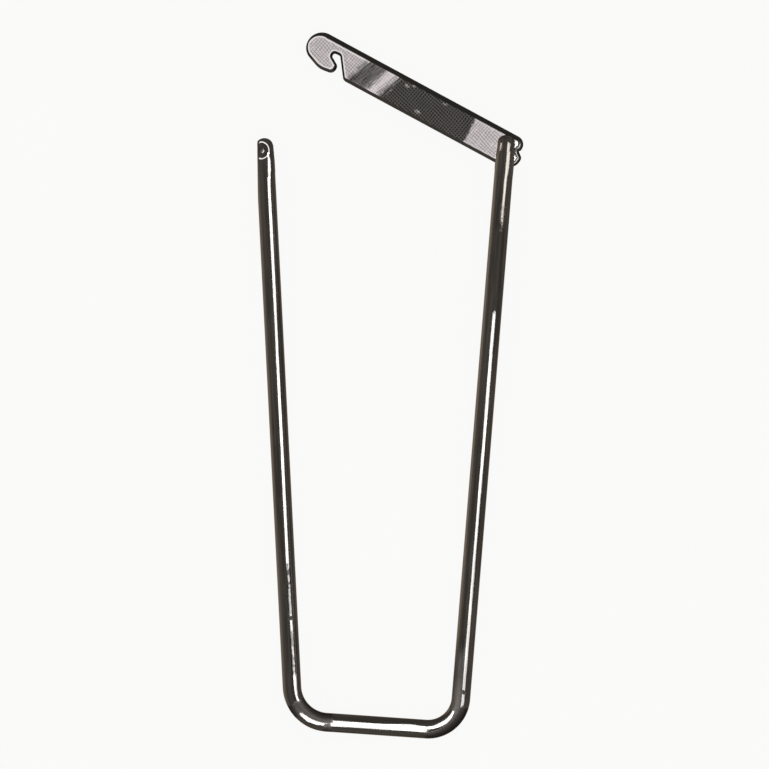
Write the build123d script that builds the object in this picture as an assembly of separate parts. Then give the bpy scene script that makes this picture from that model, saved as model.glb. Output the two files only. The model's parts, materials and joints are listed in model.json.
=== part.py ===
from build123d import *
import math
import os

# A locking holder for knitting stitches: one bent wire frame whose two prongs end in forks, a flat hook bar
# that swings on a rivet in one fork, and a catch pin in the other fork that the hook closes over.
# It lies flat. X runs along the base of the frame, +Y points to the open end, Z is through the thickness.
# All lengths are in millimetres and all angles in degrees.

# Wire frame. Each prong leans outward from square to the base. Lengths run from the corner of the centre lines.
WIRE_R = 2.0
BASE_SPAN = 35.3
PIVOT_LEAN = 0.7
CATCH_LEAN = 6.85
PIVOT_PRONG_L = 128.0
CATCH_PRONG_L = 124.65
PIVOT_BEND_R = 7.05
CATCH_BEND_R = 7.9
TIP_ROUND = 1.7

# The frame springs at the middle of its base, where its two halves meet on a drum about the spring axis.
DRUM_R = 3.0
DRUM_GAP = 0.02

# Forks: a saw slot across each tip, in the plane of the frame.
SLOT_W = 1.9
SLOT_DEPTH = 7.5
FORK_ROOT_R = 0.3

# Ground flat on the outer side of the catch prong, deepest at the tip.
FLAT_FROM_AXIS = 1.42
FLAT_RUN = 13.5

# Pivot rivet: a shank with a countersunk head at each end, domed flush with the crown of the wire.
PIVOT_FROM_TIP = 3.0
RIVET_R = 0.8
RIVET_HEAD_R = 1.0
RIVET_RIM_DEPTH = 0.28
RIVET_SINK_DEPTH = 0.6
RIVET_DOME_DEPTH = 0.03

# Catch pin: a thin shank with button heads that sit in wide counterbores, nearer the outer side.
CATCH_FROM_TIP = 2.8
CATCH_OFFSET = 0.7
PIN_R = 0.4
PIN_HEAD_R = 0.65
PIN_HEAD_EDGE = 0.08
PIN_HEAD_H = 0.3
COUNTERBORE_R = 1.45
COUNTERBORE_DEPTH = 0.65

# Hook bar: flat strip with rounded edges. Its own frame has the pivot at the origin and +X to the hook.
# The cut outline runs a hair outside the strip's straight edges, so that the edges keep the strip's rounding.
BAR_W = 7.3
CUT_MARGIN = 0.03
BAR_T = 1.75
BAR_REST_ANGLE = 155.55
BAR_HOLE_R = 0.85
BACK_EDGE_NOSE = 1.25
FRONT_EDGE_NOSE = 0.65
CUT_EDGE_ROUND = 0.35

# Outline of the hook bar, corner by corner and anticlockwise from its tail: x, y and the corner's radius.
BACK = -BAR_W / 2 - CUT_MARGIN
FRONT = BAR_W / 2 + CUT_MARGIN
BAR_CORNERS = [
    (-3.08, BACK, 1.9),      # back lobe of the tail
    (48.2, BACK, 3.45),      # nose of the head, back side
    (48.2, 1.95, 3.1),       # nose of the head, front side
    (43.3, 3.9, 4.5),        # belly of the head
    (39.98, 3.45, 1.3),      # underside of the beak
    (39.98, 1.5, 1.0),       # point of the beak
    (42.0, 0.3, 0.5),        # hook seat, near corner
    (42.1, -0.55, 0.5),      # hook seat, far corner
    (40.6, -0.66, 0.55),     # top of the lead-in
    (37.52, FRONT, 1.2),     # start of the slanted lead-in
    (-3.95, FRONT, 3.0),     # round end of the tail
    (-3.95, 0.1, 0.9),       # front lip of the tail notch
    (-2.7, -0.9, 0.15),      # bottom of the tail notch
    (-3.08, -1.2, 0.5),      # back lip of the tail notch
]

CENTRE_Z = WIRE_R
CROWN_Z = 2 * WIRE_R


def prong_frame(side, lean, from_corner, offset=0.0):
    """A place on a prong, with +Y towards its tip and +X to the right. side is 1 right of the base, -1 left."""
    angle = math.radians(lean)
    along = (side * math.sin(angle), math.cos(angle))
    x = side * BASE_SPAN / 2 + along[0] * from_corner + offset * along[1]
    y = along[1] * from_corner - offset * along[0]
    return Location((x, y, CENTRE_Z), (0, 0, -side * lean))


def both_faces(piece):
    """A feature cut or raised on the upper face, and its mirror image on the lower one."""
    return [piece, mirror(piece, about=Plane.XY)]


def wire_half(side, lean, length, bend_r):
    """Half of the frame: half the base, one bend and one prong with a rounded tip."""
    tip = prong_frame(side, lean, length)
    corner = (side * BASE_SPAN / 2, 0, CENTRE_Z)
    middle = (0, 0, CENTRE_Z)
    path = FilletPolyline(middle, corner, tuple(tip.position), radius=bend_r)
    half = sweep(Plane(origin=middle, z_dir=(side, 0, 0)) * Circle(WIRE_R), path=path)
    end = half.edges().sort_by(Axis.Y)[-1]
    return fillet(end, TIP_ROUND)


def fork_slot(tip):
    """The saw slot across a tip, with its root corners slightly rounded."""
    slot = Box(4 * WIRE_R, 2 * SLOT_DEPTH, SLOT_W)
    root = slot.edges().filter_by(Axis.X).group_by(Axis.Y)[0]
    return tip * fillet(root, FORK_ROOT_R)


def rivet_head(extra=0.0):
    """The cone and rim of a rivet head, on the axis, measured up from the centre of the wire."""
    rim = WIRE_R - RIVET_RIM_DEPTH
    sink = WIRE_R - RIVET_SINK_DEPTH
    cone = Pos(0, 0, (rim + sink) / 2) * Cone(RIVET_R, RIVET_HEAD_R, rim - sink)
    if extra:
        cone += Pos(0, 0, rim + extra / 2) * Cylinder(RIVET_HEAD_R, extra)
    return cone


def dome(radius, height):
    """A shallow cap standing on the XY plane."""
    ball_r = (radius**2 + height**2) / (2 * height)
    ball = Pos(0, 0, height - ball_r) * Sphere(ball_r)
    return ball & Pos(0, 0, height / 2) * Cylinder(2 * radius, height)


def frame_pivot_side():
    """Right half of the frame, with the drum end of the spring joint and the fork for the hook bar."""
    half = wire_half(1, PIVOT_LEAN, PIVOT_PRONG_L, PIVOT_BEND_R)
    stub = Pos(-DRUM_R / 2, 0, CENTRE_Z) * Rot(0, 90, 0) * Cylinder(WIRE_R, DRUM_R)
    half += stub & Pos(0, 0, CENTRE_Z) * Cylinder(DRUM_R, 2 * CROWN_Z)
    half -= fork_slot(prong_frame(1, PIVOT_LEAN, PIVOT_PRONG_L))
    pivot = prong_frame(1, PIVOT_LEAN, PIVOT_PRONG_L - PIVOT_FROM_TIP)
    half -= pivot * Cylinder(RIVET_R, 2 * CROWN_Z)
    for sink in both_faces(rivet_head(extra=1.0)):
        half -= pivot * sink
    return half


def frame_catch_side():
    """Left half of the frame, with the hollow end of the spring joint, the flat, the fork and counterbores."""
    half = wire_half(-1, CATCH_LEAN, CATCH_PRONG_L, CATCH_BEND_R)
    half -= Pos(0, 0, CENTRE_Z) * Cylinder(DRUM_R + DRUM_GAP, 2 * CROWN_Z)
    tip = prong_frame(-1, CATCH_LEAN, CATCH_PRONG_L)
    half -= fork_slot(tip)
    taper = math.degrees(math.atan2(WIRE_R - FLAT_FROM_AXIS, FLAT_RUN))
    block = Box(WIRE_R, 4 * FLAT_RUN, 2 * CROWN_Z, align=(Align.MAX, Align.CENTER, Align.CENTER))
    half -= tip * Location((-FLAT_FROM_AXIS, 0, 0), (0, 0, -taper)) * block
    catch = prong_frame(-1, CATCH_LEAN, CATCH_PRONG_L - CATCH_FROM_TIP, -CATCH_OFFSET)
    half -= catch * Cylinder(PIN_R, 2 * CROWN_Z)
    floor = WIRE_R - COUNTERBORE_DEPTH
    bore = Pos(0, 0, floor + WIRE_R / 2) * Cylinder(COUNTERBORE_R, WIRE_R)
    for counterbore in both_faces(bore):
        half -= catch * counterbore
    return half


def pivot_rivet():
    """Shank and two countersunk heads with shallow domes."""
    rim = WIRE_R - RIVET_RIM_DEPTH
    rivet = Cylinder(RIVET_R, 2 * rim)
    cap = Pos(0, 0, rim) * dome(RIVET_HEAD_R, RIVET_RIM_DEPTH - RIVET_DOME_DEPTH)
    for piece in both_faces(rivet_head()) + both_faces(cap):
        rivet += piece
    return prong_frame(1, PIVOT_LEAN, PIVOT_PRONG_L - PIVOT_FROM_TIP) * rivet


def catch_pin():
    """Shank and two button heads that rest on the counterbore floors."""
    floor = WIRE_R - COUNTERBORE_DEPTH
    pin = Cylinder(PIN_R, 2 * floor)
    head = Pos(0, 0, floor + PIN_HEAD_EDGE / 2) * Cylinder(PIN_HEAD_R, PIN_HEAD_EDGE)
    head += Pos(0, 0, floor + PIN_HEAD_EDGE) * dome(PIN_HEAD_R, PIN_HEAD_H - PIN_HEAD_EDGE)
    for piece in both_faces(head):
        pin += piece
    return prong_frame(-1, CATCH_LEAN, CATCH_PRONG_L - CATCH_FROM_TIP, -CATCH_OFFSET) * pin


def strip_section():
    """Cross-section of the strip in the YZ plane: flat faces between two elliptical edges."""
    half_t = BAR_T / 2
    back = BACK_EDGE_NOSE - BAR_W / 2
    front = BAR_W / 2 - FRONT_EDGE_NOSE
    flat = Pos((back + front) / 2, 0) * Rectangle(front - back, BAR_T)
    back_nose = Pos(back, 0) * Ellipse(BACK_EDGE_NOSE, half_t)
    front_nose = Pos(front, 0) * Ellipse(FRONT_EDGE_NOSE, half_t)
    return Plane.YZ * (flat + back_nose + front_nose)


def hook_bar():
    """The strip cut to the outline, with softened cut edges and the pivot hole, at its open rest angle."""
    points = [corner[:2] for corner in BAR_CORNERS]
    radii = [corner[2] for corner in BAR_CORNERS]
    outline = make_face(FilletPolyline(*points, radius=radii, close=True))
    blank = extrude(outline, BAR_T / 2, both=True)
    rims = blank.edges().group_by(Axis.Z)
    blank = fillet(rims[0] + rims[-1], CUT_EDGE_ROUND)
    strip = extrude(strip_section(), 2 * PIVOT_PRONG_L, both=True)
    bar = (blank & strip) - Cylinder(BAR_HOLE_R, 2 * BAR_T)
    pivot = prong_frame(1, PIVOT_LEAN, PIVOT_PRONG_L - PIVOT_FROM_TIP)
    return Location(pivot.position, (0, 0, BAR_REST_ANGLE)) * bar


nodes = {
    "frame_pivot_side": frame_pivot_side(),
    "frame_catch_side": frame_catch_side(),
    "pivot_rivet": pivot_rivet(),
    "catch_pin": catch_pin(),
    "hook_bar": hook_bar(),
}

# The origin is the middle of the footprint, on the plane that the wire rests on.
box = Compound([piece.solid() for piece in nodes.values()]).bounding_box()
shift = Pos(-box.center().X, -box.center().Y, -box.min.Z)

os.makedirs("parts", exist_ok=True)
for name, piece in nodes.items():
    export_step(shift * piece.solid(), f"parts/{name}.step")

# The straight round stretch of the catch prong, from the end of its bend to the start of its rounded tip.
bend_end = CATCH_BEND_R * math.tan(math.radians(90 - CATCH_LEAN) / 2)
straight_middle = (bend_end + CATCH_PRONG_L - TIP_ROUND) / 2

places = {
    "spring_axis": Location((0, 0, CENTRE_Z)),
    "bar_pivot": prong_frame(1, PIVOT_LEAN, PIVOT_PRONG_L - PIVOT_FROM_TIP),
    "catch_centre": prong_frame(-1, CATCH_LEAN, CATCH_PRONG_L - CATCH_FROM_TIP, -CATCH_OFFSET),
    "catch_prong_middle": prong_frame(-1, CATCH_LEAN, straight_middle),
}
for name, place in places.items():
    print(name, [round(value, 4) for value in tuple((shift * place).position)])
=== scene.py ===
"""Looks of the locking stitch holder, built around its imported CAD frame.

Lengths in this script are in millimetres in the plan of the holder, from the spring axis at the middle of its
base: x along the base, y to the open end, z up from the middle of the wire. Meshes are written in metres.
"""

import json
import math

import bmesh
import bpy
import numpy as np
from mathutils import Matrix, Vector, geometry, kdtree


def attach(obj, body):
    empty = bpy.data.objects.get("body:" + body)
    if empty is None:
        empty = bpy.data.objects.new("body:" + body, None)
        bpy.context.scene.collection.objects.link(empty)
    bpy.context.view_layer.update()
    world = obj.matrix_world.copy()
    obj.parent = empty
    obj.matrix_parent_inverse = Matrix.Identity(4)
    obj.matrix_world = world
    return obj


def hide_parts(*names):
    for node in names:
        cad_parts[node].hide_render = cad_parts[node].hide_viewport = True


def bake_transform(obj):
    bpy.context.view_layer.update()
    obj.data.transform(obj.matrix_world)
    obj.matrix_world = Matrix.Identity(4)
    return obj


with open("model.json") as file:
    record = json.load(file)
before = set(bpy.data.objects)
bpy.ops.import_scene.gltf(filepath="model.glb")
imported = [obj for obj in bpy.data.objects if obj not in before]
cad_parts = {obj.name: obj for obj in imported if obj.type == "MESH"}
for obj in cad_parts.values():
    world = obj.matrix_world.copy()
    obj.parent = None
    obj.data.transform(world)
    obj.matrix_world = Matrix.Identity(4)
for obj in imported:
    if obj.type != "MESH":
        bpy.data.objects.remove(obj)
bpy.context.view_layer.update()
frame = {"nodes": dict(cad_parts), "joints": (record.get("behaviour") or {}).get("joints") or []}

MM = 0.001
JOINTS = {joint["name"]: joint for joint in frame["joints"]}
SPRING = Vector(JOINTS["prong_squeeze"]["pos_m"])
PIVOT = (Vector(JOINTS["bar_swing"]["pos_m"]) - SPRING) / MM
TO_ROW = Matrix.Translation(SPRING) @ Matrix.Scale(MM, 4)
TO_PLAN = Matrix.Translation(SPRING / MM)

# Wire frame, as in the CAD.
WIRE_R = 2.0
BASE_SPAN = 35.3
PIVOT_LEAN = 0.7
CATCH_LEAN = 6.85
PIVOT_PRONG_L = 128.0
CATCH_PRONG_L = 124.65
PIVOT_BEND_R = 7.05
CATCH_BEND_R = 7.9
TIP_ROUND = 1.7
SLOT_W = 1.9
SLOT_DEPTH = 7.5
FORK_ROOT_R = 0.3
FLAT_FROM_AXIS = 1.42
FLAT_RUN = 13.5
CATCH_FROM_TIP = 2.8
CATCH_OFFSET = 0.7
PIVOT_FROM_TIP = 3.0
RIVET_R = 0.8
RIVET_HEAD_R = 1.0
PIN_R = 0.4
COUNTERBORE_R = 1.45
COUNTERBORE_DEPTH = 0.65
WELL_STRETCH = 1.08
# Half length of a cutter that goes right through, and how much wider than its pin or rivet a hole is.
THROUGH = 3.0
HOLE_PLAY = 0.01
# How far the rivet's dressed heads stay under the round of the wire.
RIVET_SUNK = 0.004
# How many times wider the arms of each fork end up than the plain round: inner arm, outer arm.
PIVOT_SPREAD = (1.13, 1.13)
CATCH_SPREAD = (1.12, 1.0)
# How long a stretch the spread takes to grow, up to the fork's root, and to die away, up to the tip.
SPREAD_RISE = 2.0
SPREAD_FALL = 5.0

# How finely the wire is built: rings and steps along it, and points round it.
TIP_RINGS = 12
TIP_RUN = 6.0
TIP_STEP = 0.25
FOOT_STEP = 0.35
FORK_STEP = 0.6
PLAIN_STEP = 1.2
WIRE_SEGMENTS = 112
RIVET_SEGMENTS = 64
RIVET_RINGS = 10
# Edges sharper than this many degrees stay crisp.
WIRE_CRISP = 32
BAR_CRISP = 40

# Stretches of the wire, from the catch tip, where shade is painted over the highlight to break it up or put it out:
# the dappled, creamy and greyed ones only darken it, the rest are rougher too.
DAPPLED = (91.0, 96.6)
CREAMY = (96.4, 102.2)
NOTCH = (102.2, 103.1)
GREYED = (105.4, 114.8)
LEFT_BREAK = (120.8, 123.4)
LEFT_INNER = (123.0, 130.3)
BLOT = (128.7, 130.2)
RIGHT_BREAK = (158.6, 160.0)
RIGHT_INNER_END = 159.5
NICK = (162.65, 163.55)
# A last one grows over the first stretch and fades over the second.
STRAY_START = (158.7, 159.7)
STRAY_END = (166.0, 178.0)
# Where the finish is beaded.
BEADS = (261.5, 267.5)

# Hook bar, in its own frame: pivot at the origin, +x to the hook, +y to the edge that the hook opens from.
BAR_W = 7.3
BAR_T = 1.75
BAR_REST_ANGLE = 155.55
BAR_HOLE_R = 0.85
HOLE_STEPS = 48
OUTLINE_STEP = 0.12
GRID_STEP = 0.45
# Corners of its outline: x, y, the corner's radius, and how wide the rounded edge is after that corner.
BAR_CORNERS = [
    (-3.08, -BAR_W / 2, 1.9, 1.2),
    (48.2, -BAR_W / 2, 3.45, 0.45),
    (48.2, 1.95, 3.1, 0.5),
    (43.3, 3.9, 4.5, 0.6),
    (39.98, 3.45, 1.3, 0.7),
    (39.98, 1.5, 1.0, 0.6),
    (42.0, 0.3, 0.5, 0.55),
    (42.1, -0.55, 0.5, 0.5),
    (40.6, -0.66, 0.55, 0.45),
    (37.52, BAR_W / 2, 1.2, 0.65),
    (-3.95, BAR_W / 2, 3.0, 1.15),
    (-3.95, 0.1, 0.9, 1.3),
    (-2.7, -0.9, 0.15, 1.3),
    (-3.08, -1.2, 0.5, 1.3),
]
# Rings of points over the rounded edge, as shares of its width.
EDGE_RINGS = (0.012, 0.05, 0.11, 0.2, 0.31, 0.43, 0.56, 0.7, 0.84, 0.94, 1.0, 1.08, 1.2)
# The cross-hatch: directions in degrees, pitch, and how far the lines wander.
HATCH_ANGLES = (-16.6, 78.4)
HATCH_PITCH = 0.56
HATCH_WANDER = 0.8
# Bright zones painted along the bar as reflections: where the head begins, the band beside it, what is between, and
# where the foot ends.
ZONE_SLANT = 0.4
HEAD_START = (34.6, 36.8)
BAND = (28.3, 31.2)
BAND_CORE = (29.3, 30.6)
BETWEEN = (30.5, 36.5)
FOOT_END = (8.3, 8.9)
# Worn flecks in the dark stretch: x, y and size.
FLECKS = ((24.8, -1.8, 0.9), (23.5, -2.4, 0.6), (15.9, -2.2, 0.7), (20.3, 2.1, 1.0))

# Camera: straight down, turned so that the base slopes as it does in the picture.
CAMERA_TURN = 3.95
VIEW_CENTRE = (-3.203, 72.929)
VIEW_WIDTH = 164.5
LENS = 100.0
SENSOR = 36.0
CAMERA_HEIGHT = VIEW_WIDTH * LENS / SENSOR
# Radiance of the panels that make the highlights.
GLINT = 34.0

TABLE_HALF = 4.0
TABLE_BELOW = 0.00002


# ---------------------------------------------------------------- meshes

def new_object(name, mesh):
    piece = bpy.data.objects.new(name, mesh)
    bpy.context.scene.collection.objects.link(piece)
    return piece


def mesh_object(name, points, faces):
    """An object from points in plan millimetres."""
    mesh = bpy.data.meshes.new(name)
    mesh.from_pydata([TO_ROW @ Vector(p) for p in points], [], faces)
    mesh.update()
    return new_object(name, mesh)


def face_outward(piece):
    """Turns every face's normal away from the body."""
    work = bmesh.new()
    work.from_mesh(piece.data)
    bmesh.ops.recalc_face_normals(work, faces=work.faces)
    work.to_mesh(piece.data)
    work.free()


def smooth_by_angle(piece, limit):
    """Smooth shading, with the edges sharper than the limit kept crisp."""
    work = bmesh.new()
    work.from_mesh(piece.data)
    for face in work.faces:
        face.smooth = True
    for edge in work.edges:
        edge.smooth = len(edge.link_faces) == 2 and edge.calc_face_angle(0.0) < math.radians(limit)
    work.to_mesh(piece.data)
    work.free()


def cut(piece, cutters):
    """Takes the cutters away from the piece and removes them."""
    for cutter in cutters:
        face_outward(cutter)
        step = piece.modifiers.new("cut", "BOOLEAN")
        step.operation = "DIFFERENCE"
        step.solver = "EXACT"
        step.object = cutter
    evaluated = piece.evaluated_get(bpy.context.evaluated_depsgraph_get())
    made = bpy.data.meshes.new_from_object(evaluated)
    piece.modifiers.clear()
    piece.data = made
    for cutter in cutters:
        bpy.data.objects.remove(cutter)


def circle(radius, steps):
    """Points round a circle, starting on the x axis."""
    turns = [2 * math.pi * k / steps for k in range(steps)]
    return [(radius * math.cos(turn), radius * math.sin(turn)) for turn in turns]


def band_faces(low, high, steps):
    """Quads between two rings of points that start at the indices low and high."""
    return [(low + k, low + (k + 1) % steps, high + (k + 1) % steps, high + k) for k in range(steps)]


def lathe(place, profile, steps=96):
    """A body of revolution about the local z axis of the place, from (radius, z) pairs that start and end on it."""
    points, faces = [], []
    rings = profile[1:-1]
    for radius, z in rings:
        points += [place @ Vector((x, y, z)) for x, y in circle(radius, steps)]
    first, last = len(points), len(points) + 1
    points += [place @ Vector((0, 0, profile[0][1])), place @ Vector((0, 0, profile[-1][1]))]
    for k in range(steps):
        n = (k + 1) % steps
        faces.append((first, n, k))
        top = (len(rings) - 1) * steps
        faces.append((last, top + k, top + n))
        for ring in range(len(rings) - 1):
            low, high = ring * steps, (ring + 1) * steps
            faces.append((low + k, low + n, high + n, high + k))
    return points, faces


def drill(place, radius, steps):
    """A plain cylinder right through the wire."""
    return lathe(place, [(0, -THROUGH), (radius, -THROUGH), (radius, THROUGH), (0, THROUGH)], steps)


def prism(place, outline, axis_half):
    """A prism along local x of the place, from an outline in its yz plane."""
    count = len(outline)
    points = [place @ Vector((side, y, z)) for side in (-axis_half, axis_half) for y, z in outline]
    faces = [tuple(range(count)), tuple(range(2 * count - 1, count - 1, -1))]
    faces += [(k, (k + 1) % count, count + (k + 1) % count, count + k) for k in range(count)]
    return points, faces


def prong_place(side, lean, from_corner, offset=0.0):
    """A place on a prong, with local +y towards its tip and +x to the right. side is 1 right, -1 left."""
    angle = math.radians(lean)
    along = Vector((side * math.sin(angle), math.cos(angle), 0))
    across = Vector((along.y, -along.x, 0))
    at = Vector((side * BASE_SPAN / 2, 0, 0)) + along * from_corner + across * offset
    return Matrix.Translation(at) @ Matrix.Rotation(-side * angle, 4, "Z")


# ---------------------------------------------------------------- the wire's centre line

class WirePath:
    """Centre line of the wire from the catch tip, down the catch prong, along the base and up the pivot prong."""

    def __init__(self):
        catch_turn = 90 - CATCH_LEAN
        pivot_turn = 90 - PIVOT_LEAN
        catch_cut = CATCH_BEND_R * math.tan(math.radians(catch_turn) / 2)
        pivot_cut = PIVOT_BEND_R * math.tan(math.radians(pivot_turn) / 2)
        tip = prong_place(-1, CATCH_LEAN, CATCH_PRONG_L).translation
        self.parts = []
        self.length = 0.0
        at, heading = Vector((tip.x, tip.y)), -math.radians(catch_turn)
        for length, turn in (
            (CATCH_PRONG_L - catch_cut, 0.0),
            (CATCH_BEND_R * math.radians(catch_turn), math.radians(catch_turn)),
            (BASE_SPAN - catch_cut - pivot_cut, 0.0),
            (PIVOT_BEND_R * math.radians(pivot_turn), math.radians(pivot_turn)),
            (PIVOT_PRONG_L - pivot_cut, 0.0),
        ):
            self.parts.append((self.length, length, turn, at.copy(), heading))
            at = self._walk(at, heading, length, turn, length)
            heading += turn
            self.length += length

    @staticmethod
    def _walk(at, heading, length, turn, run):
        """Where a run leads from a part's start; turn is how far the whole part bends."""
        if not turn:
            return at + run * Vector((math.cos(heading), math.sin(heading)))
        radius = length / turn
        now = heading + turn * run / length
        centre = at + radius * Vector((-math.sin(heading), math.cos(heading)))
        return centre + radius * Vector((math.sin(now), -math.cos(now)))

    def __call__(self, s):
        """Centre point and outward direction (away from the inside of the U) at a distance from the catch tip."""
        for start, length, turn, at, heading in reversed(self.parts):
            if s >= start or start == 0.0:
                run = s - start
                if turn:
                    run = min(run, length)
                now = heading + turn * run / length
                return self._walk(at, heading, length, turn, run), Vector((math.sin(now), -math.cos(now)))


PATH = WirePath()
BASE_START = PATH.parts[2][0]
BASE_END = PATH.parts[3][0]


def ring_step(s):
    """How far it is to the next ring: short at the tips and round the bends, long on the plain stretches."""
    from_tip = min(s, PATH.length - s)
    if from_tip < TIP_RUN:
        return TIP_STEP
    if PATH.parts[1][0] - 1 < s < PATH.parts[4][0] + 1:
        return FOOT_STEP
    return FORK_STEP if from_tip < SLOT_DEPTH + FLAT_RUN else PLAIN_STEP


def stations():
    """Distances along the wire with a ring each, and the radius there."""
    tip = []
    for k in range(TIP_RINGS + 1):
        angle = math.pi / 2 * k / TIP_RINGS
        tip.append((TIP_ROUND * (1 - math.cos(angle)), WIRE_R - TIP_ROUND + TIP_ROUND * math.sin(angle)))
    body = []
    at = TIP_ROUND + TIP_STEP
    while at < PATH.length - TIP_ROUND - 0.1:
        body.append((at, WIRE_R))
        at += ring_step(at)
    return tip + body + [(PATH.length - s, r) for s, r in reversed(tip)]


def wire_mesh(name):
    """The plain bent wire with its rounded tips, closed."""
    points, faces = [], []
    rings = stations()
    for s, radius in rings:
        centre, outward = PATH(s)
        for across, up in circle(radius, WIRE_SEGMENTS):
            flat = centre + outward * across
            points.append((flat.x, flat.y, up))
    for ring in range(len(rings) - 1):
        faces += band_faces(ring * WIRE_SEGMENTS, (ring + 1) * WIRE_SEGMENTS, WIRE_SEGMENTS)
    for ring, s in ((0, 0.0), (len(rings) - 1, PATH.length)):
        centre = PATH(s)[0]
        points.append((centre.x, centre.y, 0.0))
        hub, low = len(points) - 1, ring * WIRE_SEGMENTS
        faces += [(hub, low + k, low + (k + 1) % WIRE_SEGMENTS) for k in range(WIRE_SEGMENTS)]
    piece = mesh_object(name, points, faces)
    face_outward(piece)
    return piece


def slot_outline():
    """Saw slot in the yz plane of a tip: closed end inward, root corners rounded."""
    half = SLOT_W / 2
    corner_steps = 6
    outline = [(THROUGH, -half), (THROUGH, half)]
    for side in (1, -1):
        corner = []
        for k in range(corner_steps + 1):
            angle = math.pi / 2 * k / corner_steps
            corner.append((
                -SLOT_DEPTH + FORK_ROOT_R * (1 - math.sin(angle)),
                side * (half - FORK_ROOT_R * (1 - math.cos(angle))),
            ))
        outline += corner if side == 1 else corner[::-1]
    return outline


def mirrored(profile):
    """The same profile below the middle of the wire."""
    return [(radius, -z) for radius, z in profile]


def spread_arms(piece):
    """Widens the arms of both forks a little, as the saw and the riveting left them, without passing the wire."""
    points = plan_points(piece)
    for side, lean, length, (inner, outer) in (
        (1, PIVOT_LEAN, PIVOT_PRONG_L, PIVOT_SPREAD),
        (-1, CATCH_LEAN, CATCH_PRONG_L, CATCH_SPREAD),
    ):
        place = prong_place(side, lean, length)
        back = np.array(place.inverted())
        local = points @ back[:3, :3].T + back[:3, 3]
        near = (local[:, 1] > -SLOT_DEPTH - SPREAD_RISE - 0.5) & (np.abs(local[:, 0]) < 1.5 * WIRE_R)
        rise = np.clip((local[:, 1] + SLOT_DEPTH + SPREAD_RISE) / SPREAD_RISE, 0, 1)
        rise *= np.clip(-local[:, 1] / SPREAD_FALL, 0, 1)
        out = local[:, 0] * side > 0
        factor = 1 + rise * (np.where(out, outer, inner) - 1)
        limit = np.maximum(np.abs(local[:, 0]), WIRE_R * 0.995)
        local[:, 0] = np.sign(local[:, 0]) * np.minimum(np.abs(local[:, 0]) * factor, limit)
        forward = np.array(place)
        moved = local @ forward[:3, :3].T + forward[:3, 3]
        points[near] = moved[near]
    co = points * MM + np.array(SPRING)
    piece.data.vertices.foreach_set("co", co.ravel())
    piece.data.update()


def wire_piece():
    """The whole bent wire with its forks, flat, counterbores and rivet seat."""
    piece = wire_mesh("wire_frame")
    catch_tip = prong_place(-1, CATCH_LEAN, CATCH_PRONG_L)
    pivot_tip = prong_place(1, PIVOT_LEAN, PIVOT_PRONG_L)
    catch = prong_place(-1, CATCH_LEAN, CATCH_PRONG_L - CATCH_FROM_TIP, -CATCH_OFFSET)
    pivot = prong_place(1, PIVOT_LEAN, PIVOT_PRONG_L - PIVOT_FROM_TIP)
    oval = catch @ Matrix.Diagonal((1.0, WELL_STRETCH, 1.0, 1.0))
    floor = WIRE_R - COUNTERBORE_DEPTH
    well = COUNTERBORE_R
    # Flat floor, straight wall, then a rounded lip that opens beyond the wire.
    counterbore = [
        (0, floor), (well - 0.12, floor), (well - 0.03, floor + 0.04), (well, floor + 0.12),
        (well, floor + 0.3), (well + 0.05, floor + 0.44), (well + 0.16, floor + 0.56), (well + 0.34, floor + 0.66),
        (well + 0.34, floor + 1.2), (0, floor + 1.2),
    ]
    seat_r, head_seat_r = RIVET_R + 2 * HOLE_PLAY, RIVET_HEAD_R + 2 * HOLE_PLAY
    seat = [
        (0, WIRE_R - 0.6), (seat_r, WIRE_R - 0.6), (head_seat_r, WIRE_R - 0.28),
        (head_seat_r, WIRE_R + 0.5), (0, WIRE_R + 0.5),
    ]
    taper = math.atan2(WIRE_R - FLAT_FROM_AXIS, FLAT_RUN)
    flat_place = catch_tip @ Matrix.Translation((-FLAT_FROM_AXIS, 0, 0)) @ Matrix.Rotation(-taper, 4, "Z")
    block = [(-30, -4), (-30, 4), (30, 4), (30, -4)]
    shapes = [
        prism(catch_tip, slot_outline(), 5.0),
        prism(pivot_tip, slot_outline(), 5.0),
        prism(flat_place @ Matrix.Translation((-THROUGH, 0, 0)), block, THROUGH),
        drill(catch, PIN_R + HOLE_PLAY, 32),
        drill(pivot, RIVET_R + HOLE_PLAY, 48),
        lathe(oval, counterbore),
        lathe(oval, mirrored(counterbore)),
        lathe(pivot, seat),
        lathe(pivot, mirrored(seat)),
    ]
    cut(piece, [mesh_object(f"cutter_{k}", *shape) for k, shape in enumerate(shapes)])
    spread_arms(piece)
    write_wire_coordinates(piece)
    smooth_by_angle(piece, WIRE_CRISP)
    return piece


def rivet_piece():
    """The pivot rivet, its two heads dressed flush with the round of the wire."""
    place = prong_place(1, PIVOT_LEAN, PIVOT_PRONG_L - PIVOT_FROM_TIP)
    half = [(RIVET_R, WIRE_R - 0.62), (RIVET_HEAD_R, WIRE_R - 0.3)]
    steps = RIVET_SEGMENTS
    points, faces = [], []
    levels = [(r, z) for r, z in reversed(mirrored(half))] + half
    for radius, z in levels:
        points += [(x, y, z) for x, y in circle(radius, steps)]
    for level in range(len(levels) - 1):
        faces += band_faces(level * steps, (level + 1) * steps, steps)
    for side, join in ((1, (len(levels) - 1) * steps), (-1, 0)):
        for ring in range(RIVET_RINGS):
            first = len(points)
            for x, y in circle(RIVET_HEAD_R * (1 - ring / RIVET_RINGS), steps):
                points.append((x, y, side * (math.sqrt(WIRE_R**2 - x**2) - RIVET_SUNK)))
            faces += band_faces(join, first, steps)
            join = first
        points.append((0, 0, side * (WIRE_R - RIVET_SUNK)))
        faces += [(join + k, join + (k + 1) % steps, len(points) - 1) for k in range(steps)]
    piece = mesh_object("rivet_flush", [place @ Vector(p) for p in points], faces)
    face_outward(piece)
    write_wire_coordinates(piece)
    smooth_by_angle(piece, WIRE_CRISP)
    return piece


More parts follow.
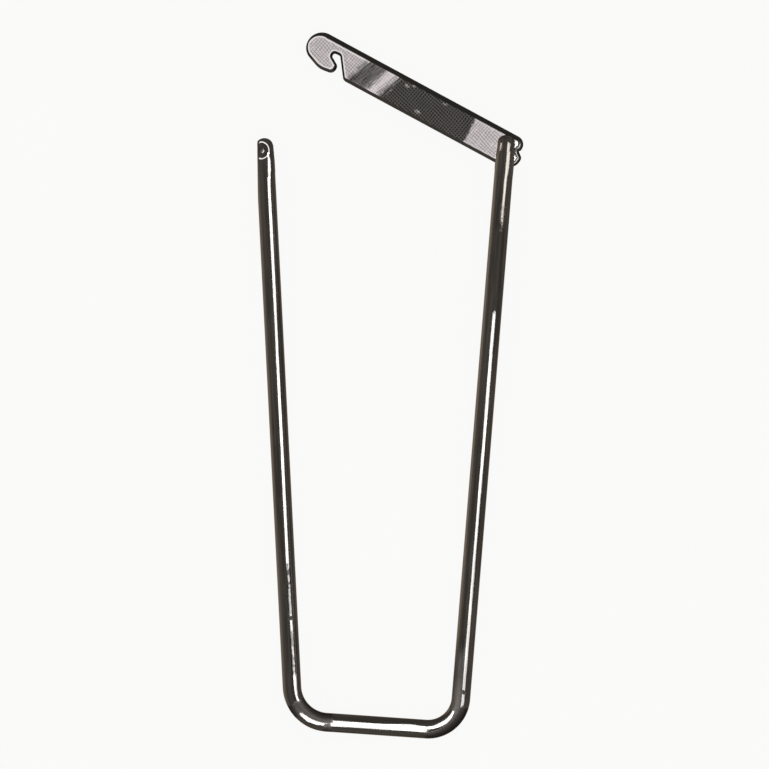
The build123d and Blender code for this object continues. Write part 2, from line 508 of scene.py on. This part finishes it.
def plan_points(piece):
    """The piece's vertices in plan millimetres."""
    co = np.zeros(len(piece.data.vertices) * 3)
    piece.data.vertices.foreach_get("co", co)
    return (co.reshape(-1, 3) - np.array(SPRING)) / MM


def write_vector(piece, name, values):
    attribute = piece.data.attributes.new(name, "FLOAT_VECTOR", "POINT")
    attribute.data.foreach_set("vector", values.astype(np.float32).ravel())


def write_value(piece, name, values):
    attribute = piece.data.attributes.new(name, "FLOAT", "POINT")
    attribute.data.foreach_set("value", values.astype(np.float32))


def write_wire_coordinates(piece):
    """Stores each vertex's place along the straightened wire (outward, up, and distance from the catch tip), and
    how far it is towards the left flank of the wire, from 1 to -1."""
    spacing = 0.25
    samples = [spacing * k for k in range(int(PATH.length / spacing) + 2)]
    tree = kdtree.KDTree(len(samples))
    for k, s in enumerate(samples):
        centre = PATH(s)[0]
        tree.insert((centre.x, centre.y, 0), k)
    tree.balance()
    points = plan_points(piece)
    values, flank = np.zeros_like(points), np.zeros(len(points))
    for k, (x, y, z) in enumerate(points):
        s = samples[tree.find((x, y, 0))[1]]
        centre, outward = PATH(s)
        ahead = Vector((-outward.y, outward.x))
        away = Vector((x, y)) - centre
        values[k] = (away.dot(outward), z, s + away.dot(ahead))
        flank[k] = -away.x / WIRE_R
    write_vector(piece, "wire_co", values)
    write_value(piece, "flank", flank)


# ---------------------------------------------------------------- the hook bar

def rounded_outline():
    """Closed outline of the bar with rounded corners: points, and the width of the rounded edge at each."""
    corners = [(Vector(c[:2]), c[2], c[3]) for c in BAR_CORNERS]
    count = len(corners)
    arcs = []
    for k, (corner, radius, _) in enumerate(corners):
        before = (corners[k - 1][0] - corner).normalized()
        after = (corners[(k + 1) % count][0] - corner).normalized()
        half = before.angle(after) / 2
        reach = radius / math.tan(half)
        start, end = corner + before * reach, corner + after * reach
        centre = corner + (before + after).normalized() * (radius / math.sin(half))
        first = math.atan2(start.y - centre.y, start.x - centre.x)
        sweep = math.atan2(end.y - centre.y, end.x - centre.x) - first
        sweep = (sweep + math.pi) % (2 * math.pi) - math.pi
        arcs.append((start, end, centre, radius, first, sweep))
    points, widths = [], []
    for k, (start, end, centre, radius, first, sweep) in enumerate(arcs):
        before, after = corners[k - 1][2], corners[k][2]
        pieces = max(4, round(abs(sweep) * radius / OUTLINE_STEP))
        for j in range(pieces):
            angle = first + sweep * j / pieces
            points.append(centre + radius * Vector((math.cos(angle), math.sin(angle))))
            widths.append(before + (after - before) * j / pieces)
        straight = arcs[(k + 1) % count][0] - end
        pieces = max(1, round(straight.length / OUTLINE_STEP))
        for j in range(pieces):
            points.append(end + straight * (j / pieces))
            widths.append(after)
    return np.array(points), np.array(widths)


def inside(points, outline):
    """Which points are inside the closed outline."""
    x, y = points[:, 0], points[:, 1]
    found = np.zeros(len(points), bool)
    for (x0, y0), (x1, y1) in zip(outline, np.roll(outline, -1, 0)):
        crosses = (y0 > y) != (y1 > y)
        if crosses.any():
            at = x0 + (y - y0) * (x1 - x0) / ((y1 - y0) or 1e-12)
            found ^= crosses & (x < at)
    return found


def edge_distance(points, outline, widths):
    """Distance of each point from the outline, and the edge width at the nearest place on it."""
    between = 6
    share = np.arange(between) / between
    after = np.roll(outline, -1, 0)
    fine = (outline[:, None] + (after - outline)[:, None] * share[None, :, None]).reshape(-1, 2)
    wide = (widths[:, None] + (np.roll(widths, -1) - widths)[:, None] * share[None]).ravel()
    tree = kdtree.KDTree(len(fine))
    for k, (x, y) in enumerate(fine):
        tree.insert((x, y, 0), k)
    tree.balance()
    distance, width = np.zeros(len(points)), np.zeros(len(points))
    for k, (x, y) in enumerate(points):
        _, near, away = tree.find((x, y, 0))
        distance[k], width[k] = away, wide[near]
    return distance, width


def bar_piece():
    """The flat bar with its rounded edge and its pivot hole, meshed from rings along the outline and a grid."""
    outline, widths = rounded_outline()
    for _ in range(6):
        widths = (np.roll(widths, 1) + widths + np.roll(widths, -1)) / 3
    tangent = np.roll(outline, -1, 0) - np.roll(outline, 1, 0)
    tangent /= np.linalg.norm(tangent, axis=1)[:, None]
    inward = np.stack([-tangent[:, 1], tangent[:, 0]], 1)
    loose = [outline + inward * (widths * ring)[:, None] for ring in EDGE_RINGS]
    wanted = [widths * ring for ring in EDGE_RINGS]
    gx, gy = np.meshgrid(np.arange(-4.0, 48.4, GRID_STEP), np.arange(-3.6, 4.2, GRID_STEP))
    grid = np.stack([gx.ravel(), gy.ravel()], 1)
    points = np.concatenate(loose + [grid])
    target = np.concatenate(wanted + [np.full(len(grid), 0.35)])
    distance, width = edge_distance(points, outline, widths)
    from_grid = np.arange(len(points)) >= len(points) - len(grid)
    keep = inside(points, outline) & (distance > np.where(from_grid, width * 1.3, target * 0.985))
    hole = np.array(circle(BAR_HOLE_R, HOLE_STEPS))
    keep &= np.hypot(points[:, 0], points[:, 1]) > BAR_HOLE_R + 0.08
    rim = len(outline)
    every = [Vector(p) for p in np.concatenate([outline, hole, points[keep]])]
    edges = [(k, (k + 1) % rim) for k in range(rim)]
    edges += [(rim + k, rim + (k + 1) % HOLE_STEPS) for k in range(HOLE_STEPS)]
    flat, _, triangles, *_ = geometry.delaunay_2d_cdt(every, edges, [], 0, 1e-5)
    flat = np.array([tuple(p) for p in flat])
    centres = np.array([flat[list(t)].mean(0) for t in triangles])
    wanted_face = inside(centres, outline) & (np.hypot(centres[:, 0], centres[:, 1]) > BAR_HOLE_R * 0.97)
    triangles = [tuple(t) for t, ok in zip(triangles, wanted_face) if ok]
    distance, width = edge_distance(flat, outline, widths)
    share = np.clip(distance / width, 0, 1)
    share[distance < 1e-3] = 0
    at_hole = np.hypot(flat[:, 0], flat[:, 1]) < BAR_HOLE_R + 1e-3
    height = BAR_T / 2 * np.sqrt(1 - (1 - share) ** 2)
    # Upper and lower face share the outline's vertices, and the hole gets its own wall.
    count = len(flat)
    on_outline = share == 0
    lower = np.arange(count) + count
    lower[on_outline] = np.arange(count)[on_outline]
    co = np.concatenate([np.column_stack([flat, height]), np.column_stack([flat, -height])])
    faces = [tuple(t) for t in triangles] + [tuple(int(lower[k]) for k in t[::-1]) for t in triangles]
    ring = [k for k in range(count) if at_hole[k]]
    ring.sort(key=lambda k: math.atan2(flat[k][1], flat[k][0]))
    for a, b in zip(ring, ring[1:] + ring[:1]):
        faces.append((a, b, int(lower[b]), int(lower[a])))
    turn = Matrix.Rotation(math.radians(BAR_REST_ANGLE), 4, "Z")
    place = Matrix.Translation((PIVOT.x, PIVOT.y, 0)) @ turn
    used = sorted({k for f in faces for k in f})
    index = {k: n for n, k in enumerate(used)}
    faces = [tuple(index[k] for k in f) for f in faces]
    piece = mesh_object("hook_bar_strip", [place @ Vector(co[k]) for k in used], faces)
    face_outward(piece)
    write_vector(piece, "bar_co", co[used])
    write_value(piece, "edge_share", np.tile(distance / width, 2)[used])
    write_value(piece, "inset", np.tile(distance - width, 2)[used])
    smooth_by_angle(piece, BAR_CRISP)
    return piece


# ---------------------------------------------------------------- materials

class Nodes:
    """Short hand for building a shader in code."""

    def __init__(self, name, metallic=1.0):
        self.material = bpy.data.materials.new(name)
        self.material.use_nodes = True
        self.tree = self.material.node_tree
        self.shader = self.tree.nodes["Principled BSDF"]
        self.shader.inputs["Metallic"].default_value = metallic

    def add(self, kind, **settings):
        """A new node with these properties set."""
        node = self.tree.nodes.new(kind)
        for key, value in settings.items():
            setattr(node, key, value)
        return node

    def surface(self, **values):
        """Plugs values into the shader's own sockets: base_color is Base Color."""
        for key, value in values.items():
            self.plug(value, self.shader.inputs[key.replace("_", " ").title()])

    def plug(self, value, socket):
        """Links a socket to the input, or sets the input to a plain value."""
        if isinstance(value, bpy.types.NodeSocket):
            self.tree.links.new(value, socket)
        else:
            socket.default_value = value

    def math(self, operation, a, b=0.0, c=0.0):
        node = self.add("ShaderNodeMath", operation=operation)
        for value, socket in zip((a, b, c), node.inputs):
            self.plug(value, socket)
        return node.outputs[0]

    def times(self, first, *others):
        for other in others:
            first = self.math("MULTIPLY", first, other)
        return first

    def largest(self, first, *others):
        for other in others:
            first = self.math("MAXIMUM", first, other)
        return first

    def away(self, dx, dy):
        """Distance in a plane, from its two parts."""
        return self.math("SQRT", self.math("ADD", self.math("POWER", dx, 2.0), self.math("POWER", dy, 2.0)))

    def centred(self, value, size):
        """A noise value moved to swing round 0, with this factor."""
        return self.times(self.math("SUBTRACT", value, 0.5), size)

    def step(self, value, low, high, out_low=0.0, out_high=1.0):
        """Smooth step of a value between two levels."""
        node = self.add("ShaderNodeMapRange", interpolation_type="SMOOTHSTEP", clamp=True)
        for item, socket in zip((value, low, high, out_low, out_high), node.inputs):
            self.plug(item, socket)
        return node.outputs[0]

    def window(self, value, low, high, soft):
        """1 between two levels, 0 outside, with soft ends."""
        return self.times(
            self.step(value, low - soft, low + soft), self.step(value, high - soft, high + soft, 1.0, 0.0)
        )

    def blend(self, share, a, b):
        """Colour a, replaced by colour b to the given share."""
        node = self.add("ShaderNodeMix", data_type="RGBA")
        self.plug(share, node.inputs[0])
        for value, socket in zip((a, b), node.inputs[6:8]):
            self.plug(value if isinstance(value, bpy.types.NodeSocket) else (*value, 1.0), socket)
        return node.outputs[2]

    def attribute(self, name):
        return self.add("ShaderNodeAttribute", attribute_name=name)

    def split(self, vector):
        """The x, y and z outputs of a vector."""
        node = self.add("ShaderNodeSeparateXYZ")
        self.plug(vector, node.inputs[0])
        return node.outputs

    def scaled(self, vector, scale, shift=(0, 0, 0)):
        node = self.add("ShaderNodeMapping")
        self.plug(vector, node.inputs["Vector"])
        node.inputs["Scale"].default_value = scale
        node.inputs["Location"].default_value = shift
        return node.outputs[0]

    def noise(self, vector, scale=1.0, detail=2.0, roughness=0.5):
        node = self.add("ShaderNodeTexNoise")
        self.plug(vector, node.inputs["Vector"])
        node.inputs["Scale"].default_value = scale
        node.inputs["Detail"].default_value = detail
        node.inputs["Roughness"].default_value = roughness
        return node.outputs["Fac"]

    def bump(self, height, distance, strength, under=None):
        """A bumped normal, on top of another one where that is given."""
        node = self.add("ShaderNodeBump")
        node.inputs["Strength"].default_value = strength
        node.inputs["Distance"].default_value = distance
        self.plug(height, node.inputs["Height"])
        if under is not None:
            self.plug(under, node.inputs["Normal"])
        return node.outputs[0]


def wire_material():
    """Darkened, polished wire: lengthwise drawing marks, specks, dull places and painted shade that break the
    highlight, and painted reflections on the flanks and the counterbore's rim.
    """
    n = Nodes("dark_polished_wire")
    co = n.attribute("wire_co").outputs["Vector"]
    outward, up, along = n.split(co)[:3]
    streaks = n.noise(n.scaled(co, (1.7, 1.7, 0.035)), 1.0, 3.0, 0.6)
    fine = n.noise(n.scaled(co, (6.0, 6.0, 0.16)), 1.0, 2.0, 0.6)
    blotch = n.noise(n.scaled(co, (0.5, 0.5, 0.12)), 1.0, 3.0, 0.55)
    specks = n.noise(n.scaled(co, (3.4, 3.4, 2.4)), 1.0, 3.0, 0.6)
    grain = n.noise(n.scaled(co, (2.2, 2.2, 1.1)), 1.0, 2.0, 0.5)
    tone = n.step(n.math("ADD", n.times(streaks, 0.7), n.times(fine, 0.3)), 0.38, 0.62)
    colour = n.blend(tone, (0.030, 0.027, 0.024), (0.060, 0.053, 0.046))
    colour = n.blend(n.step(blotch, 0.5, 0.75, 0.0, 0.35), colour, (0.075, 0.066, 0.056))
    colour = n.blend(n.times(n.step(specks, 0.68, 0.74), 0.5), colour, (0.12, 0.11, 0.10))
    # Painted reflection: both flanks are lighter and warmer, the left one most, standing in for the soft light the
    # edges reflect.
    flank = n.attribute("flank").outputs["Fac"]
    colour = n.blend(n.step(flank, 0.55, 1.0, 0.0, 0.85), colour, (0.21, 0.17, 0.135))
    colour = n.blend(n.step(flank, -0.8, -1.0, 0.0, 0.4), colour, (0.16, 0.135, 0.11))
    # Rim of the counterbore, worn to bare metal and painted near white as a highlight.
    from_axis = n.math("SUBTRACT", outward, CATCH_OFFSET)
    from_pin = n.math("DIVIDE", n.math("SUBTRACT", along, CATCH_FROM_TIP), WELL_STRETCH)
    rim = n.window(n.away(from_axis, from_pin), COUNTERBORE_R + 0.02, COUNTERBORE_R + 0.33, 0.03)
    rim = n.times(rim, n.step(n.math("ABSOLUTE", up), 1.5, 1.7))
    colour = n.blend(rim, colour, (1.0, 0.985, 0.965))
    # Painted shade, on the upper side only, darkening the highlight's track so that it breaks up:
    topside = n.step(up, 0.1, 0.7)
    dappled = n.times(n.window(along, *DAPPLED, 0.3), n.step(grain, 0.44, 0.52, 0.45, 0.97))
    creamy = n.times(n.window(along, *CREAMY, 0.3), n.step(grain, 0.4, 0.6, 0.25, 0.55))
    greyed = n.times(n.window(along, *GREYED, 0.4), n.step(grain, 0.38, 0.6, 0.45, 0.85))
    painted_dimming = n.times(n.largest(dappled, creamy, greyed), n.window(outward, -1.05, -0.2, 0.1), topside)
    colour = n.blend(painted_dimming, colour, (0.006, 0.0055, 0.005))
    # Where the wire is rougher and painted near black as shade, the highlight goes out. Outward is positive, and the
    # inner side of the U is negative.
    ragged = n.centred(grain, 1.2)
    place = n.math("ADD", along, ragged)
    left_inner = n.times(n.window(place, *LEFT_INNER, 0.3), n.step(outward, -0.05, -0.2))
    blot_edge = n.math("ADD", outward, n.times(ragged, 0.9))
    blot = n.times(n.window(place, *BLOT, 0.2), n.step(blot_edge, 0.0, 0.12))
    slope = n.math("MULTIPLY_ADD", n.math("SUBTRACT", along, BASE_END), 0.15, outward)
    right_inner = n.times(n.window(along, BASE_END, RIGHT_INNER_END, 0.3), n.step(slope, 0.36, 0.5))
    stray = n.times(n.step(along, *STRAY_START), n.step(along, *STRAY_END, 1.0, 0.0))
    stray = n.times(stray, n.step(outward, 0.12, 0.0))
    notch = n.times(n.window(along, *NOTCH, 0.12), n.window(outward, -1.2, -0.1, 0.15))
    nick = n.times(n.window(place, *NICK, 0.12), n.window(outward, -0.05, 1.0, 0.15))
    left_break = n.window(place, *LEFT_BREAK, 0.35)
    right_break = n.window(place, *RIGHT_BREAK, 0.3)
    dull_and_painted_dark = n.largest(left_break, left_inner, blot, right_inner, stray, notch, nick, right_break)
    dull_and_painted_dark = n.times(dull_and_painted_dark, topside)
    # Painted shade: near black where the highlight goes out.
    colour = n.blend(n.times(dull_and_painted_dark, 0.85), colour, (0.0065, 0.0052, 0.0042))
    # Rough beads under the upper highlight of the pivot prong.
    beads = n.times(n.window(along, *BEADS, 0.4), n.step(specks, 0.5, 0.44))
    rough = n.math("ADD", 0.055, n.times(fine, 0.04))
    rough = n.math("ADD", rough, n.times(beads, 0.3))
    rough = n.math("ADD", rough, n.times(dull_and_painted_dark, 0.5))
    height = n.math("ADD", n.times(fine, 0.5), streaks)
    normal = n.bump(height, 0.00003, 0.5)
    normal = n.bump(specks, 0.00004, 0.25, under=normal)
    n.surface(base_color=colour, roughness=rough, normal=normal, specular_tint=(0.55, 0.5, 0.45, 1.0))
    return n.material


def strip_material():
    """Plated strip with a fine impressed cross-hatch: dark, with bright zones of painted reflection."""
    n = Nodes("cross_hatched_strip")
    co = n.attribute("bar_co").outputs["Vector"]
    edge = n.attribute("edge_share").outputs["Fac"]
    inset = n.attribute("inset").outputs["Fac"]
    x, y = n.split(co)[:2]
    # The zones of the finish, and its brushing, lie at a slant to the bar.
    slant = n.math("SUBTRACT", x, n.times(y, ZONE_SLANT))
    joined = n.add("ShaderNodeCombineXYZ")
    n.plug(slant, joined.inputs[0])
    n.plug(y, joined.inputs[1])
    slanted = joined.outputs[0]

    wander = n.noise(n.scaled(co, (0.25, 0.25, 0.25)), 1.0, 2.0)
    patchy = n.noise(n.scaled(co, (0.14, 0.2, 1.0), (7, 3, 0)), 1.0, 3.0, 0.6)
    brushed = n.noise(n.scaled(slanted, (3.4, 0.3, 1.0)), 1.0, 3.0, 0.7)
    wear = n.noise(n.scaled(co, (1.1, 0.8, 1.0)), 1.0, 3.0, 0.6)
    ragged = n.noise(n.scaled(co, (1.6, 1.6, 1.6)), 1.0, 3.0, 0.65)

    def grating(degrees):
        """Fine parallel lines in this direction."""
        angle = math.radians(degrees)
        across = n.math("SUBTRACT", n.times(y, math.cos(angle)), n.times(x, math.sin(angle)))
        across = n.math("ADD", across, n.times(wander, HATCH_WANDER))
        return n.step(n.math("SINE", n.times(across, 2 * math.pi / HATCH_PITCH)), 0.55, 1.0)

    first = n.times(grating(HATCH_ANGLES[0]), n.step(patchy, 0.35, 0.55, 0.45, 1.0))
    second = n.times(grating(HATCH_ANGLES[1]), n.step(patchy, 0.65, 0.45, 0.45, 1.0))
    lines = n.largest(first, second)
    # Painted reflection, in bright zones: the head, a slanted band beside it, a little between them, and the stretch
    # next to the pivot.
    shift = n.centred(ragged, 1.2)
    place = n.math("ADD", slant, n.math("ADD", shift, n.centred(brushed, 5.0)))
    head = n.step(place, *HEAD_START)
    band = n.window(place, *BAND, 1.0)
    between = n.times(n.window(place, *BETWEEN, 1.0), n.step(brushed, 0.38, 0.62, 0.0, 0.22))
    foot = n.step(n.math("ADD", x, shift), *FOOT_END, 1.0, 0.0)
    painted_reflection = n.largest(n.largest(head, band), n.largest(foot, between))
    dark = n.blend(lines, (0.030, 0.028, 0.026), (0.135, 0.130, 0.122))
    flecks = 0.0
    for x0, y0, size in FLECKS:
        away = n.away(n.math("SUBTRACT", x, x0), n.times(n.math("SUBTRACT", y, y0), 1.8))
        flecks = n.largest(n.step(away, size, size * 0.4), flecks)
    broken = n.largest(n.times(lines, 0.9), n.step(ragged, 0.54, 0.6))
    dark = n.blend(n.times(flecks, broken), dark, (0.40, 0.38, 0.36))
    dark = n.blend(n.step(wear, 0.6, 0.8, 0.0, 0.5), dark, (0.11, 0.105, 0.10))
    light = n.blend(lines, (0.64, 0.59, 0.60), (0.22, 0.20, 0.205))
    light = n.blend(n.step(wear, 0.5, 0.75, 0.0, 0.6), light, (0.74, 0.70, 0.70))
    # Painted highlight: the band's core and the brushed streaks are brighter still.
    core = n.times(n.window(place, *BAND_CORE, 0.7), 0.7)
    light = n.blend(n.largest(core, n.step(brushed, 0.6, 0.72, 0.0, 0.5)), light, (0.80, 0.75, 0.755))
    face = n.blend(painted_reflection, dark, light)
    # Rounded edge: painted dark as shade, a little lighter along the +y side, and a thin painted highlight as a
    # shoulder where it meets the face.
    bright_rim = n.largest(n.times(painted_reflection, 0.4), head)
    shoulder = n.times(n.window(inset, 0.02, 0.26, 0.05), n.times(bright_rim, 0.9))
    face = n.blend(shoulder, face, (0.88, 0.86, 0.85))
    edge_tone = n.noise(n.scaled(co, (0.3, 3.0, 3.0)), 1.0, 2.0)
    edge_colour = n.blend(edge_tone, (0.012, 0.011, 0.009), (0.028, 0.026, 0.022))
    edge_colour = n.blend(n.step(y, 2.6, 3.1), edge_colour, (0.044, 0.040, 0.035))
    # Painted highlight: a thin light line along the rounded edge at the tail.
    painted_edge_highlight = n.times(n.window(edge, 0.5, 0.62, 0.06), n.step(x, -2.0, -2.4))
    edge_colour = n.blend(n.times(painted_edge_highlight, 0.8), edge_colour, (0.28, 0.26, 0.24))
    colour = n.blend(n.step(edge, 0.86, 1.0), edge_colour, face)
    # The rounded edge is duller at the tail.
    tail = n.times(n.step(x, -1.0, -1.6), n.step(edge, 1.1, 1.0))
    rough = n.math("ADD", n.math("ADD", 0.14, n.times(ragged, 0.08)), n.times(tail, 0.3))
    pressed = n.times(lines, n.step(edge, 0.95, 1.1), -1.0)
    normal = n.bump(pressed, 0.00002, 0.35)
    n.surface(base_color=colour, roughness=rough, normal=normal, specular_tint=(0.5, 0.48, 0.45, 1.0))
    return n.material


def fastener_material():
    """Dark turned steel, with a crescent highlight painted on one side of the catch pin's head."""
    n = Nodes("dark_turned_steel")
    where = n.add("ShaderNodeTexCoord").outputs["Object"]
    scratches = n.noise(n.scaled(where, (2600, 900, 900)), 1.0, 3.0, 0.6)
    blotch = n.noise(n.scaled(where, (700, 700, 700)), 1.0, 2.0, 0.5)
    colour = n.blend(n.step(scratches, 0.35, 0.7), (0.022, 0.020, 0.018), (0.050, 0.047, 0.042))
    colour = n.blend(n.step(blotch, 0.6, 0.85, 0.0, 0.5), colour, (0.10, 0.095, 0.09))
    at = n.split(n.scaled(where, (1 / MM, 1 / MM, 1 / MM)))
    axis = TO_PLAN @ prong_place(-1, CATCH_LEAN, CATCH_PRONG_L - CATCH_FROM_TIP, -CATCH_OFFSET).translation
    dx, dy = n.math("SUBTRACT", at[0], axis.x), n.math("SUBTRACT", at[1], axis.y)
    # Painted highlight: a light crescent on the right of the pin's head.
    crescent = n.times(n.window(n.away(dx, dy), 0.5, 0.68, 0.04), n.step(dx, 0.12, 0.4))
    colour = n.blend(crescent, colour, (0.16, 0.142, 0.125))
    rough = n.math("ADD", 0.42, n.times(blotch, 0.14))
    n.surface(base_color=colour, roughness=rough, normal=n.bump(scratches, 0.00001, 0.3))
    return n.material


def floor_material():
    """Pale table. Its tone comes from emission, so it stays even and shows no shadow."""
    n = Nodes("pale_table", metallic=0.0)
    where = n.add("ShaderNodeTexCoord").outputs["Object"]
    cloud = n.noise(n.scaled(where, (9, 9, 9)), 1.0, 2.0, 0.5)
    tint = n.blend(cloud, (0.948, 0.948, 0.944), (0.958, 0.957, 0.952))
    n.surface(base_color=(0.03, 0.03, 0.03, 1.0), roughness=1.0, emission_color=tint, emission_strength=0.975)
    n.shader.inputs["Specular IOR Level"].default_value = 0.0
    return n.material


# ---------------------------------------------------------------- camera and light

def add_camera():
    data = bpy.data.cameras.new("camera")
    data.lens = LENS
    data.sensor_width = SENSOR
    data.dof.use_dof = False
    data.clip_start, data.clip_end = 0.01, 10.0
    camera = new_object("camera", data)
    camera.location = TO_ROW @ Vector((*VIEW_CENTRE, CAMERA_HEIGHT))
    camera.rotation_euler = (0, 0, math.radians(CAMERA_TURN))
    bpy.context.scene.camera = camera


def mirrored_ray(s, offset):
    """Point on the top of the wire at an offset from its middle, outward positive, and the way the eye's ray goes on
    from there."""
    centre, outward = PATH(s)
    normal = Vector((outward.x * offset, outward.y * offset, math.sqrt(WIRE_R**2 - offset**2))) / WIRE_R
    surface = Vector((centre.x, centre.y, 0)) + normal * WIRE_R
    ray = (surface - Vector((*VIEW_CENTRE, CAMERA_HEIGHT))).normalized()
    return surface, ray - 2 * ray.dot(normal) * normal


def glint(name, ends, radiance, reach=15.0, spread=100.0, tint=(0.92, 1.0, 1.1)):
    """A small panel that puts a highlight on the wire between two places, given as (distance from the catch tip,
    inner edge, outer edge). It has the same radiance on its axis whatever its size and spread."""
    corners = []
    for s, low, high in ends:
        for offset in (low, high):
            surface, ray = mirrored_ray(s, offset)
            corners.append(surface + ray * reach)
    middle = sum(corners, Vector()) / 4
    long_axis = (corners[2] + corners[3] - corners[0] - corners[1]) / 2
    wide_axis = (corners[1] + corners[3] - corners[0] - corners[2]) / 2
    length, width = long_axis.length, wide_axis.length
    y_axis = long_axis.normalized()
    x_axis = (wide_axis - y_axis * wide_axis.dot(y_axis)).normalized()
    z_axis = x_axis.cross(y_axis)
    surfaces = [mirrored_ray(s, (low + high) / 2)[0] for s, low, high in ends]
    target = (surfaces[0] + surfaces[1]) / 2
    if z_axis.dot(middle - target) < 0:
        x_axis, z_axis = -x_axis, -z_axis
    data = bpy.data.lights.new(name, "AREA")
    data.shape = "RECTANGLE"
    data.size, data.size_y = width * MM, length * MM
    data.spread = math.radians(spread)
    half = data.spread / 2
    data.energy = radiance * math.pi * data.size * data.size_y * (1 - half / math.tan(half))
    data.color = tint
    light = new_object(name, data)
    turn = Matrix((x_axis, y_axis, z_axis)).transposed().to_4x4()
    light.matrix_world = Matrix.Translation(TO_ROW @ middle) @ turn
    light.visible_camera = False
    light.visible_diffuse = False


def add_lights():
    world = bpy.data.worlds.new("soft_room")
    bpy.context.scene.world = world
    world.use_nodes = True
    background = world.node_tree.nodes["Background"]
    background.inputs["Color"].default_value = (1.0, 0.99, 0.975, 1.0)
    background.inputs["Strength"].default_value = 0.9
    # Highlights, measured across the wire from its middle: negative is the inner side of the U.
    glint("catch_tip", ((3.9, -0.96, -0.66), (9.0, -0.90, -0.40)), GLINT)
    glint("catch_prong_upper", ((9.0, -0.88, -0.36), (45.0, -0.86, -0.32)), GLINT)
    glint("catch_prong_middle", ((45.0, -0.84, -0.30), (92.0, -0.78, -0.24)), GLINT)
    glint("catch_prong_lower", ((92.0, -0.82, -0.30), (106.0, -0.84, -0.46)), 0.8 * GLINT)
    glint("catch_prong_foot", ((106.0, -0.84, -0.46), (120.4, -1.02, -0.52)), GLINT)
    glint("left_bend", ((123.8, 0.45, 0.85), (129.6, -0.35, 0.42)), GLINT, spread=140.0)
    glint("base_run", ((129.4, -0.72, 0.36), (150.4, -0.72, 0.36)), GLINT, spread=150.0)
    glint("right_bend", ((150.4, -0.80, 0.20), (158.2, -1.25, -0.85)), GLINT, spread=140.0)
    glint("pivot_prong_lower", ((160.2, 0.14, 0.60), (205.0, 0.05, 0.62)), 0.8 * GLINT)
    glint("pivot_prong_middle", ((205.0, 0.05, 0.62), (244.2, 0.04, 0.62)), GLINT)
    glint("pivot_prong_upper", ((263.5, 0.18, 0.52), (281.0, 0.17, 0.86)), 0.5 * GLINT, tint=(0.96, 1.0, 1.04))
    glint("fork_corner", ((279.4, -1.16, -0.88), (280.8, -1.16, -0.88)), 0.4 * GLINT, tint=(1.0, 0.98, 0.92))


def add_floor():
    mesh = bpy.data.meshes.new("table")
    corners = [(TABLE_HALF * x, TABLE_HALF * y, 0) for x, y in ((-1, -1), (1, -1), (1, 1), (-1, 1))]
    mesh.from_pydata(corners, [], [(0, 1, 2, 3)])
    floor = new_object("table", mesh)
    floor.location.z = -TABLE_BELOW
    floor.data.materials.append(floor_material())


# ---------------------------------------------------------------- the object

bpy.context.scene.view_settings.view_transform = "Standard"

wire = wire_piece()
wire.data.materials.clear()
dark_wire = wire_material()
wire.data.materials.append(dark_wire)
TO_ROW @ Vector((PATH(BASE_END)[0].x, 0, 0))
TO_ROW @ Vector((PATH(BASE_START)[0].x, 0, 0))
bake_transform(wire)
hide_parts("frame_pivot_side", "frame_catch_side")

bar = bar_piece()
bar.data.materials.append(strip_material())
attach(bar, "hook_bar")
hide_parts("hook_bar")

# The rivet's heads have the wire's finish, and it stands for the CAD rivet. The catch pin stays the CAD's own.
rivet = rivet_piece()
rivet.data.materials.append(dark_wire)
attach(rivet, "pivot_prong")
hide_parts("pivot_rivet")

pin = frame["nodes"]["catch_pin"]
pin.data.materials.clear()
pin.data.materials.append(fastener_material())

add_floor()
add_camera()
add_lights()
